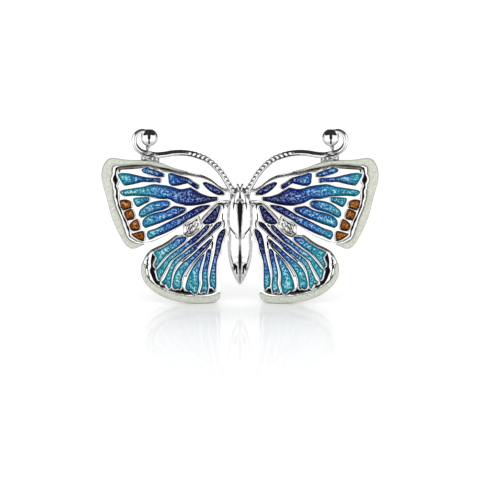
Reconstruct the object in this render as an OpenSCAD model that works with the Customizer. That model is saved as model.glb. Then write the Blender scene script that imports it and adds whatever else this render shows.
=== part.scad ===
// Butterfly brooch: silver wings with enamel cells, wire antennae, a two-part body,
// and a swinging pin with a turning safety catch on the back.
// Units are mm. X is the wingspan, +Z is up as worn, the front faces -Y.
// The origin is on the axis of the pin stem, in the brooch's plane of symmetry.

/* [Wings] */
// Overall width, wing tip to wing tip
wing_span = 42.0; // [30:0.5:60]
// Angle that each wing leans forward
wing_lean = 7; // [0:1:12]
// Thickness of the base plate of a wing
plate_t = 0.70; // [0.5:0.05:1.2]
// Thickness at the raised field with the cells
field_t = 1.30; // [1.0:0.05:2.0]
// Height of the floor of a cell over the wing's back
cell_floor = 0.80; // [0.6:0.05:1.0]
// Height of the enamel in a cell over the wing's back
cell_top = 1.22; // [1.0:0.02:1.6]
// Thickness of the pale enamel on the wing's edge
border_t = 0.30; // [0.2:0.05:0.6]
// Distance from the pin axis to the wings' back at the middle
back_gap = 2.20; // [1.8:0.1:3.5]

/* [Body and antennae] */
// Distance from the pin axis to the body's own axis
body_y = 2.90; // [2.5:0.1:4.0]
// Distance from the pin axis to the flat back of the body
body_back = 2.00; // [1.6:0.1:3.0]
// Radius of the antenna wire
wire_r = 0.47; // [0.3:0.01:0.6]
// Radius of the ball at an antenna's end
ball_r = 1.32; // [0.8:0.02:1.8]

/* [Pin and catch] */
// Radius of the pin stem
pin_r = 0.45; // [0.3:0.05:0.6]
// Distance from the middle to the hinge axis
hinge_x = 11.5; // [8:0.5:14]
// Distance from the middle to the middle of the catch
catch_x = 10.5; // [8:0.5:13]
// Distance from the middle to the pin's tip
tip_x = 13.5; // [11:0.5:16]
// Where the round stem ends and the point begins
taper_x = 4.0; // [2:0.5:8]
// Radius of the hinge rivet
rivet_r = 0.40; // [0.3:0.05:0.6]
// Radial clearance of the pin's eye on the rivet
rivet_gap = 0.04; // [0.02:0.01:0.1]
// Outer radius of the catch's housing
housing_r = 1.60; // [1.2:0.05:2.0]
// Bore radius of the catch's housing
housing_bore = 1.15; // [0.8:0.05:1.5]
// Radial clearance of the roller in its housing
roller_gap = 0.04; // [0.02:0.01:0.1]
// Length of the catch
catch_len = 2.40; // [1.6:0.1:3.5]

/* [Hidden] */
$fn = 48;
base_v = 17.0;
span_k = wing_span / 42.0;

// One point of a smooth curve between b and c, with neighbours a and d.
function knot(a, b, c, d, t) = 0.5 * ((2 * b) + (c - a) * t
    + (2 * a - 5 * b + 4 * c - d) * t * t + (3 * b - a - 3 * c + d) * t * t * t);

// A closed smooth outline through hand-placed points.
function smooth(p, n = 2) = let (m = len(p)) [for (i = [0:m - 1], k = [0:n - 1])
    knot(p[(i + m - 1) % m], p[i], p[(i + 1) % m], p[(i + 2) % m], k / n)];

// An open smooth path through hand-placed points.
function path(p, n) = let (m = len(p)) concat([for (i = [0:m - 2], k = [0:n - 1])
    knot(p[max(i - 1, 0)], p[i], p[i + 1], p[min(i + 2, m - 1)], k / n)], [p[m - 1]]);

// Outlines in a wing's own plane: distance from the middle, height over the lower edge.
fore_outline = [[20.1, 16], [20.6, 18], [21, 19.5], [21.15, 20.8], [20.98, 22], [20.5, 22.95],
    [19.9, 23.4], [19.2, 23.5], [18.2, 23.3], [17, 23.12], [15.5, 23.05], [14, 22.95],
    [13, 22.75], [12, 22.45], [11, 22], [10, 21.6], [9, 21.3], [8, 20.95], [7, 20.7],
    [6, 20.45], [5, 20], [4.2, 19.5], [3.4, 18.8], [2.6, 18.25], [1.5, 18], [1.3, 17],
    [1.6, 16.2], [2.8, 16.25], [3.6, 16.1], [4.2, 15.6], [5, 14.95], [6, 14.3], [7, 13.7],
    [8, 13.1], [9, 12.55], [10, 11.95], [11, 11.35], [12, 10.85], [13, 10.4], [14, 10.05],
    [15, 9.7], [15.8, 9.35], [16.5, 9.2], [17.1, 9.45], [17.7, 10.05], [18.3, 11.1],
    [18.9, 12.3], [19.4, 13.5], [19.8, 14.7]];
fore_field = [[18.55, 21.95], [18.9, 21.5], [18.97, 21], [18.85, 20.5], [18.7, 20.1],
    [18.85, 19.7], [18.97, 19.2], [18.75, 18.7], [18.72, 18], [18.67, 17.2], [18.55, 16.4],
    [18.25, 15.6], [17.95, 14.6], [17.5, 13.8], [17.3, 13.1], [17, 12.4], [16.93, 11.6],
    [16.7, 11.1], [16.2, 10.75], [15.6, 10.4], [15, 10.2], [14, 10.3], [13, 10.6], [12, 11],
    [11, 11.5], [10, 12.1], [9, 12.68], [8, 13.25], [7, 13.85], [6, 14.45], [5, 15.1],
    [4.3, 15.72], [3.65, 16.22], [2.8, 16.4], [1.8, 16.4], [1.5, 17], [1.8, 17.8],
    [2.6, 18.08], [3.4, 18.6], [4.2, 19.3], [5, 19.8], [6, 20.25], [7, 20.5], [8, 20.72],
    [9, 20.9], [10, 21.1], [11.3, 21.38], [12, 21.53], [12.6, 21.8], [13.4, 21.95],
    [14, 22.17], [15, 22.15], [16, 22.1], [17, 22.05], [17.9, 22.02]];
fore_border = [[19.4, 22.3], [19.6, 21.7], [19.5, 21], [19.6, 20.3], [19.5, 19.5],
    [19.45, 18.5], [19.4, 17.5], [19.2, 16.5], [19, 15.8], [18.7, 15], [18.3, 14], [18, 13],
    [17.7, 12.1], [17.4, 11.2], [16.9, 10.6], [16.2, 10.25], [15.5, 10.05], [14.8, 9.95],
    [15.3, 9.7], [16, 9.4], [16.6, 9.33], [17.1, 9.65], [17.6, 10.25], [18.2, 11.2],
    [18.8, 12.4], [19.3, 13.6], [19.7, 14.8], [20, 16], [20.5, 18], [20.88, 19.6],
    [20.98, 20.8], [20.82, 21.9], [20.4, 22.8], [19.8, 23.25], [19.2, 23.35], [18.2, 23.17],
    [17, 23], [15.5, 22.93], [14, 22.82], [13, 22.62], [12, 22.32], [11, 21.87], [10, 21.5],
    [9, 21.22], [8.4, 21.02], [9, 21.12], [10, 21.34], [11, 21.64], [12, 21.85], [13, 22.1],
    [14, 22.4], [15, 22.42], [16, 22.45], [17, 22.42], [18, 22.35], [18.8, 22.3]];
fore_cells = [
    [[15.1, 21.6], [14.8, 21.9], [14.2, 21.9], [13.3, 21.6], [12.5, 21.25], [11.8, 20.9],
        [11.75, 20.65], [12.2, 20.6], [13, 20.7], [14, 21], [14.8, 21.3]],
    [[18.7, 21.05], [18.2, 21.22], [17.3, 21.1], [16, 20.8], [15, 20.5], [14, 20.35],
        [13, 20.3], [12.4, 20.2], [12.2, 19.95], [12.45, 19.7], [13.2, 19.85], [14.2, 19.9],
        [15, 19.95], [16, 19.75], [17, 19.55], [17.8, 19.5], [18.1, 19.85], [18.45, 20.5]],
    [[11.05, 20.85], [10.7, 21], [10, 20.7], [9, 20.4], [8, 20.05], [7.3, 19.5], [6.7, 19.1],
        [6.4, 18.85], [6.6, 18.55], [7.1, 18.65], [7.7, 19.1], [8.3, 19.45], [9, 19.35],
        [9.7, 19.2], [10.4, 19.2], [10.9, 19.4], [11, 20.1]],
    [[5.8, 19.25], [5.5, 19.4], [4.9, 19.15], [4.2, 18.85], [3.4, 18.4], [2.9, 18],
        [2.55, 17.5], [3.1, 17.5], [3.9, 17.6], [4.7, 18.05], [5.3, 18.6]],
    [[18.4, 18.3], [18.1, 18.55], [17.2, 18.7], [16, 18.85], [14.8, 19], [13.9, 19.25],
        [13.2, 19.3], [12, 19.1], [11, 18.9], [10.3, 18.7], [9.6, 18.45], [8.7, 18.45],
        [7.8, 18.6], [7.1, 18.25], [6.2, 17.65], [5.2, 17.2], [4.3, 17.05], [3.7, 16.98],
        [3.65, 16.65], [4.5, 16.5], [5.5, 16.25], [6.8, 16.05], [8, 16], [9, 16.15],
        [10, 16.45], [10.8, 16.95], [11.5, 17.15], [12.6, 17.25], [14, 17.55], [15.2, 17.75],
        [16.5, 17.85], [17.6, 17.8], [18.15, 17.95]],
    [[16.4, 17.15], [16, 17.3], [15, 17.35], [14.2, 17.35], [13.95, 17.1], [14.1, 16.8],
        [14.8, 16.5], [15.5, 16.15], [15.95, 16.1], [16.2, 16.5]],
    [[15.55, 14.8], [15.4, 15.3], [14.9, 15.75], [14.2, 16.25], [13.3, 16.6], [12.2, 16.75],
        [11.3, 16.65], [10.9, 16.4], [10.9, 16], [11.4, 15.7], [12.3, 15.35], [13.2, 15.15],
        [14, 14.85], [14.7, 14.5], [15.2, 14.38], [15.5, 14.5]],
    [[15, 13.2], [14.95, 13.7], [14.5, 14.25], [13.8, 14.65], [12.8, 14.92], [11.8, 15.1],
        [11, 15.4], [10.3, 15.8], [9.6, 15.7], [8.8, 15.55], [8.4, 15.3], [8.6, 15],
        [9.4, 14.6], [10.3, 14.15], [11.3, 13.85], [12.2, 13.5], [13.1, 13.2], [14, 12.9],
        [14.6, 12.75], [14.9, 12.9]],
    [[14.3, 11.75], [14, 12.1], [13, 12.4], [12, 12.9], [11, 13.4], [10, 13.9], [9, 14.3],
        [8, 14.9], [7, 15.45], [6.2, 15.72], [5.2, 15.83], [4.78, 15.72], [5.15, 15.4],
        [6, 14.87], [7, 14.3], [8, 13.75], [9, 13.05], [10, 12.55], [11, 12.1], [12, 11.65],
        [13, 11.3], [13.9, 10.9], [14.25, 11.15]]];
amber_cells = [
    [[18.42, 16.95], [17.8, 17.05], [17.1, 16.85], [16.72, 16.5], [16.78, 15.95], [17.2, 15.7],
        [17.9, 15.6], [18.22, 15.85], [18.38, 16.4]],
    [[17.8, 15.1], [17.3, 15.42], [16.75, 15.55], [16.45, 15.2], [16.2, 14.55],
        [16.35, 14.18], [16.9, 14.05], [17.4, 14], [17.65, 14.5]],
    [[16.98, 13.1], [16.7, 13.5], [16.2, 13.85], [15.87, 13.9], [15.6, 13.5], [15.4, 12.7],
        [15.7, 12.4], [16.3, 12.3], [16.72, 12.37], [16.95, 12.7]],
    [[16.68, 11.65], [16.1, 11.85], [15.4, 12.03], [14.88, 11.92], [14.72, 11.4],
        [14.78, 10.85], [15.05, 10.65], [15.6, 10.8], [16.2, 11.2]]];
hind_outline = [[15.2, 5.7], [15.13, 6.5], [14.9, 7.1], [14.5, 7.9], [14.1, 8.45],
    [13.5, 8.95], [12.8, 9.3], [12, 9.65], [11, 10.25], [10.4, 10.7], [9.8, 11.07], [9, 11.2],
    [8.2, 11.2], [7.3, 11.5], [6.5, 12.2], [6.1, 12.9], [5.9, 13.6], [5.3, 14.3],
    [4.7, 14.9], [4, 15.55], [3.4, 15.95], [2.6, 15.98], [1.6, 15.8], [1.4, 14], [1.4, 12],
    [1.6, 10.3], [2.2, 9.9], [2.6, 9.65], [2.8, 9.1], [2.9, 7.9], [2.97, 6], [3, 4],
    [3, 2.4], [3.15, 1.2], [3.6, 0.55], [4.4, 0.3], [5.5, 0.25], [7, 0.3], [8.5, 0.45],
    [9.6, 0.65], [10.7, 1], [11.8, 1.45], [12.8, 2], [13.7, 2.75], [14.4, 3.5], [14.9, 4.3],
    [15.15, 5]];
hind_field = [[13.55, 8.75], [13.3, 8.2], [13.08, 7.85], [13.25, 7.3], [13.45, 6.8],
    [13.35, 6.3], [13.02, 6.02], [13.25, 5.7], [13.1, 5.2], [12.98, 4.6], [12.7, 4.12],
    [12.35, 4.12], [12.42, 3.8], [12.2, 3.45], [11.75, 3.42], [11.5, 2.95], [11.1, 2.62],
    [10.72, 2.85], [10.4, 2.62], [10, 2.57], [9.65, 2.62], [9.25, 2.52], [8.92, 2.85],
    [8.6, 2.4], [8.1, 2.28], [7.75, 2.22], [7.35, 1.85], [6.95, 1.72], [6.55, 1.98],
    [6.1, 1.85], [5.7, 2.02], [5.35, 1.87], [4.98, 2], [4.85, 2.62], [4.45, 2.6],
    [4.15, 2.28], [3.75, 2.32], [3.5, 3], [3.45, 4.5], [3.42, 6], [3.32, 7.2], [3.02, 8.2],
    [2.8, 9.2], [2.5, 10], [2.2, 10.6], [1.9, 11.4], [1.7, 12.4], [1.8, 14], [2, 15.4],
    [2.7, 15.88], [3.4, 15.85], [3.95, 15.45], [4.6, 14.8], [5.2, 14.2], [5.8, 13.5],
    [6, 12.85], [6.4, 12.1], [7.25, 11.4], [8.2, 11.08], [9, 11.1], [9.75, 10.97],
    [10.35, 10.58], [11, 10.15], [12, 9.55], [12.8, 9.2], [13.35, 8.98]];
hind_border = [[14.85, 7], [14.6, 6.3], [14.5, 5.5], [14.3, 4.8], [13.75, 4.05],
    [13.2, 3.55], [12.55, 3.1], [11.9, 2.75], [11.2, 2.38], [10.5, 2.12], [9.6, 1.85],
    [8.5, 1.6], [7.2, 1.43], [6, 1.37], [5, 1.4], [4.3, 1.5], [3.8, 1.7], [3.4, 1.9],
    [3.15, 1.7], [3.25, 1.2], [3.7, 0.7], [4.4, 0.43], [5.5, 0.38], [7, 0.42], [8.5, 0.57],
    [9.6, 0.78], [10.7, 1.12], [11.7, 1.57], [12.7, 2.12], [13.6, 2.85], [14.3, 3.6],
    [14.78, 4.4], [15.02, 5.1], [15.08, 5.8], [15, 6.5]];
hind_cells = [
    [[3.1, 15.5], [3.4, 15.72], [3.85, 15.4], [4.5, 14.7], [5.15, 14], [5.75, 13.35],
        [5.8, 13.05], [5.3, 12.95], [4.6, 13.05], [4, 13.3], [3.6, 13.8], [3.35, 14.6]],
    [[13.3, 8.72], [12.7, 9.02], [12, 9.33], [11, 9.9], [10.3, 10.4], [9.8, 10.8],
        [9, 10.95], [8.35, 10.85], [8.5, 10.4], [9.1, 9.9], [9.9, 9.27], [10.6, 8.8],
        [11.4, 8.2], [12, 7.5], [12.5, 6.85], [13, 6.3], [13.25, 6.7], [13.05, 7.25],
        [12.85, 7.8], [13.1, 8.3]],
    [[4.85, 12.5], [5.25, 12.68], [5.8, 12.2], [6.5, 11.5], [7.3, 10.85], [8.2, 10.15],
        [9, 9.5], [10, 8.8], [10.7, 8.3], [11.4, 7.6], [12, 6.9], [12.6, 6.15],
        [12.95, 5.85], [12.85, 5.2], [12.7, 4.55], [12.4, 4.37], [12.12, 4.85], [11.6, 5.75],
        [11.2, 6.45], [10.8, 7.15], [10.2, 7.72], [9.4, 8.32], [8.6, 8.97], [7.8, 9.65],
        [7, 10.15], [6.4, 10.65], [5.7, 11.35], [5.1, 11.95]],
    [[3, 13.05], [3.4, 13.1], [3.9, 12.8], [4.5, 12.05], [5.1, 11.4], [5.8, 10.8],
        [6.5, 10.15], [7.3, 9.62], [8, 9.05], [8.8, 8.4], [9.5, 7.95], [10.1, 7.47],
        [10.6, 6.8], [11, 5.95], [11.45, 4.95], [11.8, 4.25], [12.12, 4], [11.98, 3.7],
        [11.5, 3.65], [11.2, 3.15], [10.97, 2.9], [10.72, 3.3], [10.62, 4.3], [10.42, 5.4],
        [9.95, 6.5], [9.25, 7.28], [8.4, 7.92], [7.6, 8.52], [6.9, 9.12], [6.2, 9.87],
        [5.4, 10.55], [4.6, 11.25], [3.9, 11.95], [3.15, 12.6]],
    [[4.42, 10.4], [4.8, 10.42], [5.4, 9.9], [6.1, 9.3], [6.8, 8.63], [7.5, 8], [8.3, 7.35],
        [9, 6.8], [9.6, 6.12], [10.08, 5.3], [10.37, 4.3], [10.48, 3.4], [10.37, 2.98],
        [10.05, 2.85], [9.7, 2.95], [9.3, 2.8], [9.12, 3.2], [9.05, 4.2], [8.8, 5],
        [8.4, 5.7], [7.9, 6.45], [7.3, 7.15], [6.6, 7.85], [5.9, 8.6], [5.2, 9.3],
        [4.6, 9.95]],
    [[5.62, 8.15], [6.1, 7.8], [6.6, 7.2], [7.15, 6.45], [7.65, 5.6], [8.05, 4.7],
        [8.37, 3.7], [8.47, 2.85], [8.2, 2.55], [7.75, 2.52], [7.4, 2.15], [7, 2],
        [6.65, 2.25], [6.5, 2.9], [6.35, 3.5], [6.45, 4.2], [6.42, 5.1], [6.2, 6],
        [5.95, 6.9], [5.7, 7.7]],
    [[4.72, 8.9], [5, 8.82], [5.28, 8.4], [5.45, 7.5], [5.7, 6.5], [5.92, 5.4], [5.97, 4.4],
        [5.9, 3.6], [6.12, 2.7], [6.27, 2.2], [6, 2.12], [5.7, 2.32], [5.35, 2.15],
        [5.1, 2.3], [5, 3.2], [5.1, 4.4], [5.1, 5.4], [4.95, 6.3], [4.77, 7.2], [4.62, 8.1],
        [4.57, 8.6]],
    [[2.7, 11.95], [2.4, 11.85], [2.42, 11.3], [2.7, 10.5], [2.98, 9.6], [3.17, 8.7],
        [3.45, 7.8], [3.7, 6.9], [3.8, 5.8], [3.8, 4.5], [3.8, 3.2], [3.92, 2.58],
        [4.15, 2.6], [4.4, 2.95], [4.68, 3.05], [4.8, 3.8], [4.75, 4.8], [4.55, 5.9],
        [4.35, 6.8], [4.12, 7.8], [3.93, 8.8], [3.8, 9.8], [3.6, 10.7], [3.3, 11.4]]];
bridge = [[5.9, 12.6], [6.15, 13.5], [6.4, 13.95], [7.1, 13.5], [7.9, 13.05], [8.45, 12.6],
    [8.6, 11.9], [8.45, 11.3], [8, 11.15], [7.3, 11.5], [6.5, 12.15]];
pad = [[12.35, 22.75], [12.5, 23.5], [13.2, 23.75], [14.2, 23.95], [14.9, 23.95], [15, 23.4],
    [14.9, 22.95], [13.8, 22.85], [13, 22.6]];

// Centre line of an antenna: distance from the middle, height, and depth over the back.
wire = [[0.7, 17.5, 1.0], [1.3, 18.05, 0.95], [2.05, 19.25, 0.85], [2.65, 20.3, 0.8],
    [3.35, 21.2, 0.75], [4.2, 22.1, 0.7], [5.2, 22.9, 0.7], [6.3, 23.41, 0.7],
    [7.6, 23.82, 0.7], [9, 24.02, 0.7], [10.3, 24.01, 0.7], [11.6, 23.83, 0.7],
    [12.9, 23.79, 0.75], [14.1, 24.05, 0.75], [15.05, 24.35, 0.75], [15.75, 24.95, 0.75],
    [16.1, 25.7, 0.75], [16.15, 26.4, 0.75], [15.9, 27.05, 0.75], [15.35, 27.55, 0.8],
    [14.7, 27.7, 0.85], [14.1, 27.45, 0.9]];
ball = [13.9, 26.6, 0.9];

// Half outline of the body: radius, height.
body_half = [[0, 3], [0.32, 3.25], [0.73, 3.95], [1.16, 4.95], [1.48, 5.95], [1.71, 6.95],
    [1.88, 8.2], [1.92, 9.5], [1.87, 10.5], [2, 11.5], [2.15, 12.8], [2.2, 14.2],
    [2.08, 15.5], [1.75, 16.5], [1.3, 17.3], [0.95, 17.9], [0.55, 18.35], [0, 18.5]];

silver = [0.80, 0.80, 0.79];
blue = [0.02, 0.20, 0.42];
amber = [0.50, 0.20, 0.03];
pale = [0.74, 0.77, 0.70];
steel = [0.70, 0.70, 0.69];

function nums(stem, n, side) = [for (i = [1:n]) str(stem, i, "_", side)];

// Places children drawn in a wing's own plane, on the left (-1) or right (1).
module wing(side) {
    if (side > 0) translate([0, -back_gap, -base_v]) rotate([0, 0, -wing_lean])
        rotate([90, 0, 0]) children();
    else mirror([1, 0, 0]) translate([0, -back_gap, -base_v]) rotate([0, 0, -wing_lean])
        rotate([90, 0, 0]) children();
}

module slab(points, low, high, n = 2) {
    translate([0, 0, low]) linear_extrude(height = high - low)
        polygon([for (p = smooth(points, n)) [p[0] * span_k, p[1]]]);
}

module forewing(side) {
    color(silver) wing(side) difference() {
        union() {
            slab(fore_outline, 0, plate_t);
            slab(fore_field, plate_t - 0.1, field_t);
        }
        for (c = fore_cells) slab(c, cell_floor, field_t + 1);
        for (c = amber_cells) slab(c, cell_floor, field_t + 1);
    }
}

module hindwing(side) {
    color(silver) wing(side) difference() {
        union() {
            slab(hind_outline, 0, plate_t);
            slab(hind_field, plate_t - 0.1, field_t);
        }
        for (c = hind_cells) slab(c, cell_floor, field_t + 1);
    }
}

module enamel(points, side) {
    color(blue) wing(side) slab(points, cell_floor, cell_top);
}

module amber_set(side) {
    color(amber) wing(side) for (c = amber_cells) slab(c, cell_floor, cell_top);
}

module border(points, side) {
    color(pale) wing(side) slab(points, plate_t, plate_t + border_t);
}

module body() {
    color(silver) difference() {
        translate([0, -body_y, -base_v]) rotate_extrude()
            polygon(path(body_half, 2));
        translate([-5, -body_back, -20]) cube([10, 5, 25]);
        for (side = [-1, 1]) wing(side) {
            slab(fore_outline, 0, field_t);
            slab(hind_outline, 0, field_t);
        }
    }
}

module palps() {
    color(silver) for (side = [-1, 1])
        translate([0.16 * side, -body_y - 0.3, 17.9 - base_v]) rotate([0, 12 * side, 0]) {
            cylinder(h = 1.25, r1 = 0.22, r2 = 0.15, $fn = 24);
            translate([0, 0, 1.25]) sphere(r = 0.15, $fn = 24);
        }
}

// A round wire swept along a path, closed at both ends.
module sweep(p, r, sides) {
    m = len(p);
    function along(i) = let (d = p[min(i + 1, m - 1)] - p[max(i - 1, 0)]) d / norm(d);
    points = [for (i = [0:m - 1]) let (t = along(i), f = cross([0, 0, 1], t), a = f / norm(f),
        b = cross(t, a)) for (k = [0:sides - 1])
        p[i] + r * (a * cos(k * 360 / sides) + b * sin(k * 360 / sides))];
    faces = concat([[for (k = [0:sides - 1]) k]],
        [for (i = [0:m - 2], k = [0:sides - 1]) let (a = i * sides, b = a + sides,
            j = (k + 1) % sides) [a + k, b + k, b + j, a + j]],
        [[for (k = [0:sides - 1]) m * sides - 1 - k]]);
    polyhedron(points = points, faces = faces, convexity = 6);
}

module antenna(side) {
    color(silver) wing(side)
        sweep([for (p = path(wire, 2)) [p[0] * span_k, p[1], p[2]]], wire_r, 12);
}

module antenna_ball(side) {
    color(silver) wing(side) translate([ball[0] * span_k, ball[1], ball[2]])
        sphere(r = ball_r);
}

module solder_pad(side) {
    color(silver) wing(side) slab(pad, 0.15, 0.68);
}

module solder_bridge(side) {
    color(silver) wing(side) slab(bridge, 0.1, 0.68);
}

module hinge_bracket() {
    ear_in = 0.53;
    ear_out = 1.0;
    color(silver) difference() {
        union() {
            wing(1) translate([hinge_x - 1.3, base_v - 1.3, -0.5]) cube([2.8, 2.6, 0.5]);
            for (z = [ear_in, -ear_out]) translate([hinge_x, 0, z]) {
                cylinder(h = ear_out - ear_in, r = 0.85);
                translate([-0.85, -3.3, 0]) cube([1.7, 3.3, ear_out - ear_in]);
            }
        }
        translate([hinge_x, 0, -2]) cylinder(h = 4, r = rivet_r);
    }
}

module hinge_rivet() {
    color(steel) translate([hinge_x, 0, 0]) {
        translate([0, 0, -1.0]) cylinder(h = 2.0, r = rivet_r);
        translate([0, 0, 1.0]) cylinder(h = 0.18, r = 0.62);
        translate([0, 0, -1.18]) cylinder(h = 0.18, r = 0.62);
    }
}

module pin_stem() {
    color(steel) difference() {
        union() {
            translate([hinge_x, 0, -0.48]) cylinder(h = 0.96, r = 0.8);
            translate([hinge_x - 0.6, 0, 0]) rotate([0, -90, 0])
                cylinder(h = hinge_x - 0.6 + taper_x, r = pin_r);
            translate([-taper_x, 0, 0]) rotate([0, -90, 0])
                cylinder(h = tip_x - taper_x, r1 = pin_r, r2 = 0.1);
        }
        translate([hinge_x, 0, -1]) cylinder(h = 2, r = rivet_r + rivet_gap);
    }
}

// A wedge that is open towards +Y, along the catch's axis.
module opening(half_angle, long) {
    far = 3;
    translate([long / 2, 0, 0]) rotate([0, -90, 0]) linear_extrude(height = long)
        polygon([[0, 0], [-far * tan(half_angle), far], [far * tan(half_angle), far]]);
}

module catch_housing() {
    color(silver) translate([-catch_x, 0, 0]) difference() {
        union() {
            translate([-catch_len / 2, 0, 0]) rotate([0, 90, 0])
                cylinder(h = catch_len, r = housing_r);
            translate([-catch_len / 2, -3.2, -0.7]) cube([catch_len, 2.2, 1.4]);
            translate([catch_x, 0, 0]) wing(-1)
                translate([catch_x - 1.6, base_v - 1.3, -0.4]) cube([3.4, 2.6, 0.4]);
        }
        translate([-catch_len, 0, 0]) rotate([0, 90, 0])
            cylinder(h = 2 * catch_len, r = housing_bore);
        opening(20, catch_len + 1);
        opening(72, 1.1);
    }
}

module catch_roller() {
    slot = 0.45;
    color(steel) translate([-catch_x, 0, 0]) {
        difference() {
            union() {
                translate([-catch_len / 2, 0, 0]) rotate([0, 90, 0])
                    cylinder(h = catch_len, r = housing_bore - roller_gap);
                rotate([-50, 0, 0]) translate([-0.4, 0.8, -0.22]) cube([0.8, 1.6, 0.44]);
            }
            translate([-catch_len, 0, 0]) rotate([0, 90, 0])
                cylinder(h = 2 * catch_len, r = slot);
            translate([-catch_len, 0, -slot]) cube([2 * catch_len, 3, 2 * slot]);
        }
    }
}

forewing(-1);  // forewing_left
forewing(1);  // forewing_right
hindwing(-1);  // hindwing_left
hindwing(1);  // hindwing_right
body();
palps();
antenna(-1);  // antenna_left
antenna(1);  // antenna_right
antenna_ball(-1);  // antenna_ball_left
antenna_ball(1);  // antenna_ball_right
solder_pad(-1);  // solder_pad_left
solder_pad(1);  // solder_pad_right
solder_bridge(-1);  // solder_bridge_left
solder_bridge(1);  // solder_bridge_right
border(fore_border, -1);  // forewing_border_left
border(fore_border, 1);  // forewing_border_right
border(hind_border, -1);  // hindwing_border_left
border(hind_border, 1);  // hindwing_border_right
amber_set(-1);  // amber_cells_left
amber_set(1);  // amber_cells_right
hinge_bracket();
hinge_rivet();
pin_stem();
catch_housing();
catch_roller();
for (i = [1:9]) {
    enamel(fore_cells[i - 1], -1);
    enamel(fore_cells[i - 1], 1);
}
for (i = [1:8]) {
    enamel(hind_cells[i - 1], -1);
    enamel(hind_cells[i - 1], 1);
}
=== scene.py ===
"""Butterfly brooch: polished silver with enamel cells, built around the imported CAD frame.

Wing shapes are worked out in a wing's own plane: u is the distance from the middle, v the
height over the lower edge and d the depth over the wing's back, all in mm.
"""

import math

import bmesh
import bpy
import numpy as np
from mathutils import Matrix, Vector, geometry, kdtree, noise

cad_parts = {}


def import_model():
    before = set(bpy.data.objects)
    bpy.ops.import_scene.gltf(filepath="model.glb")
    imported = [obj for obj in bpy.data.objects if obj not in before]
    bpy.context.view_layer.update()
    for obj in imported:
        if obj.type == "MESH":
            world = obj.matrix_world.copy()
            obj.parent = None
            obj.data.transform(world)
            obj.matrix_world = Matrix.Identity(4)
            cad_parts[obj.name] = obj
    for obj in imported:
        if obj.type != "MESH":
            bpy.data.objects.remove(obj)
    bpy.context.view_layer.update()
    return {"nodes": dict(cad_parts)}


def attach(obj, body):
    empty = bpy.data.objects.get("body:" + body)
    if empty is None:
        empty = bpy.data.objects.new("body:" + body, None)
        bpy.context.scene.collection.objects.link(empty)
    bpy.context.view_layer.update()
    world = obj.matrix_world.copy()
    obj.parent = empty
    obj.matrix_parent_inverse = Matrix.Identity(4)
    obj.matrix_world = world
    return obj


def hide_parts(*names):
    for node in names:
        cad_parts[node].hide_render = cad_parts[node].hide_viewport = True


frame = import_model()
NODES = frame["nodes"]

MM = 0.001
LEAN = math.radians(7)  # how far each wing leans forward
BACK = 2.2  # from the pin axis to the wings' back
BASE = 17.0  # from the pin axis down to v = 0
BODY_Y = 2.9  # from the pin axis to the body's own axis
FIELD = 1.30  # depth of a wing's raised field
CHANNEL = 0.42  # depth of the black recess's floor
CELL_FLOOR = 0.85  # depth of the silver under the enamel
CELL_TOP = 1.22  # depth of the enamel's face in the CAD cells
BORDER_TOP = 1.0  # depth of the pale edge's face in the CAD borders
FILL_BACK = 0.87  # depth of the enamel's back
FILL_CROWN = 1.24  # depth of the enamel's dome
STEP = 0.13  # spacing of the points along a wing's lines
SIDES = {"left": -1, "right": 1}

# ---------------------------------------------------------------- shapes, in mm

# Outer limit of the black recess around the raised field, closed through the field.
FORE_RECESS = [
    (3.8, 19.2), (4.3, 19.6), (5, 19.98), (6, 20.4), (7, 20.62), (8, 20.88), (9, 21.05),
    (10, 21.3), (11, 21.62), (12, 21.83), (13, 22.05), (14, 22.34), (15, 22.36), (16, 22.4),
    (17, 22.37), (18, 22.27), (18.9, 22.12), (19.05, 21.8), (19.15, 21.4), (19.2, 21),
    (19.43, 20.5), (19.43, 20), (19.2, 19.6), (19.2, 19), (19, 18.5), (19, 18), (19.05, 17.5),
    (18.86, 17), (18.75, 16.5), (18.7, 16), (18.5, 15.5), (18.3, 15), (18, 14.3),
    (17.84, 13.8), (17.57, 13.2), (17.37, 12.5), (17.14, 12), (17.1, 11.5), (16.9, 11.1),
    (16.3, 10.7), (15.85, 10.4),
]
FORE_INNER = [(15.2, 11.6), (13, 14), (9, 17), (5, 18.3)]
HIND_RECESS = [
    (13.35, 8.75), (13.54, 8.3), (13.7, 7.66), (13.76, 7), (13.73, 6.35), (13.9, 5.83),
    (13.86, 5.44), (13.64, 4.9), (13.44, 4.37), (13.2, 3.96), (12.93, 3.56), (12.5, 3.35),
    (12.2, 3), (11.7, 2.93), (11.3, 2.65), (10.95, 2.47), (10.44, 2.3), (9.8, 2.07),
    (9.1, 1.94), (8.5, 1.83), (7.8, 1.78), (7.3, 1.64), (6.56, 1.7), (6, 1.66), (5.4, 1.73),
    (5, 1.8), (4.5, 1.87), (4, 2.1), (3.72, 2.4),
]
HIND_INNER = [(4.5, 4), (7, 6), (10.5, 7.5)]
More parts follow.
